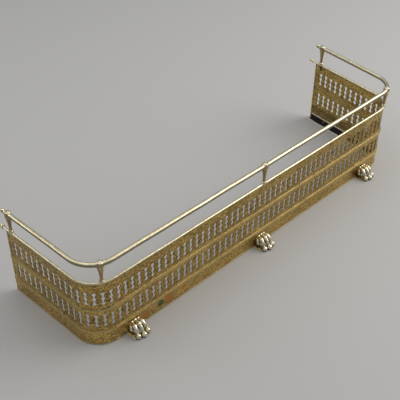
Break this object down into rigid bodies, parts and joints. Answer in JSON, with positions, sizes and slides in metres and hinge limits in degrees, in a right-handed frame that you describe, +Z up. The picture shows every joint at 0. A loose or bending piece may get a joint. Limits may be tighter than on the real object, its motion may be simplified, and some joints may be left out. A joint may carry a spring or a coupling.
{
  "type": "fire fender",
  "caption": "Low pierced fire fender bent round three sides of a hearth, with a raised rail on turned posts, an iron base angle and paw feet.",
  "frame": {"origin": "On the floor, in the middle of the footprint's bounding box", "axes": "+X to the viewer's right along the front, +Y back towards the chimney breast, +Z up"},
  "size_m": [1.2422, 0.3999, 0.288],
  "materials": {
    "sheet_brass": "old rolled sheet, lightly tarnished",
    "bright_brass": "polished by handling",
    "cast_brass": "cast, polished on the high spots",
    "black_iron": "blackened wrought iron"
  },
  "bodies": {
    "root": {"gallery_front": "sheet_brass", "gallery_left": "sheet_brass", "gallery_right": "sheet_brass", "rim_front": "bright_brass", "rim_left": "bright_brass", "rim_right": "bright_brass", "rail_front_left": "bright_brass", "rail_front_right": "bright_brass", "rail_left": "bright_brass", "rail_right": "bright_brass", "post_rear_left": "bright_brass", "post_front_left": "bright_brass", "post_middle": "bright_brass", "post_front_right": "bright_brass", "post_rear_right": "bright_brass", "rim_finial_left": "bright_brass", "rim_finial_right": "bright_brass", "rail_finial_left": "bright_brass", "rail_finial_right": "bright_brass", "base_angle_front": "black_iron", "base_angle_left": "black_iron", "base_angle_right": "black_iron", "foot_left": "cast_brass", "foot_middle": "cast_brass", "foot_right": "cast_brass", "post_rivets": "sheet_brass", "base_rivets": "sheet_brass", "foot_screws": "black_iron"}
  },
  "joints": []
}
